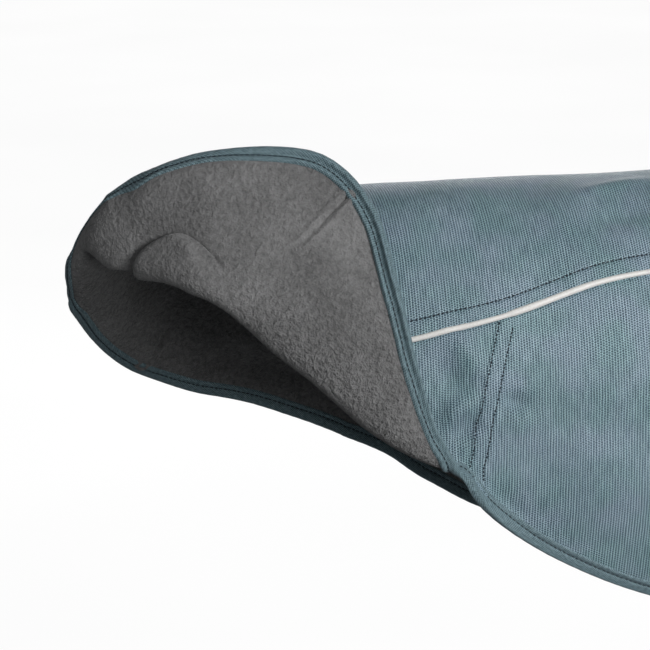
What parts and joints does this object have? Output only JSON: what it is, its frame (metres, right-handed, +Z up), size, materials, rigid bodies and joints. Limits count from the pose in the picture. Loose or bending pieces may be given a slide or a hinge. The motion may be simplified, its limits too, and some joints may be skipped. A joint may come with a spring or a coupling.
{
  "type": "waterproof dog coat",
  "caption": "Waterproof dog coat with a fleece lining, piped seams, bound edges and a belly band, filled out as worn, one rear corner turned back over the outside.",
  "frame": {"origin": "under the lining on the middle of the back, where the wearer's back carries the coat", "axes": "+X towards the neck, +Z up, -Y the side whose rear corner is turned back"},
  "size_m": [0.6435, 0.2478, 0.377],
  "materials": {
    "shell": "matt ribbed twill",
    "fleece": "napped fleece",
    "binding": "twill tape",
    "piping": "pale reflective cord",
    "patch": "hook and loop tape"
  },
  "bodies": {
    "root": {"back_panel": "shell", "side_front_near": "shell", "side_rear_near": "shell", "side_front_far": "shell", "side_rear_far": "shell", "belly_band": "shell", "lining": "fleece", "hem_binding": "binding", "neck_binding": "binding", "piping_near": "piping", "piping_far": "piping", "band_patch": "patch"}
  },
  "joints": []
}
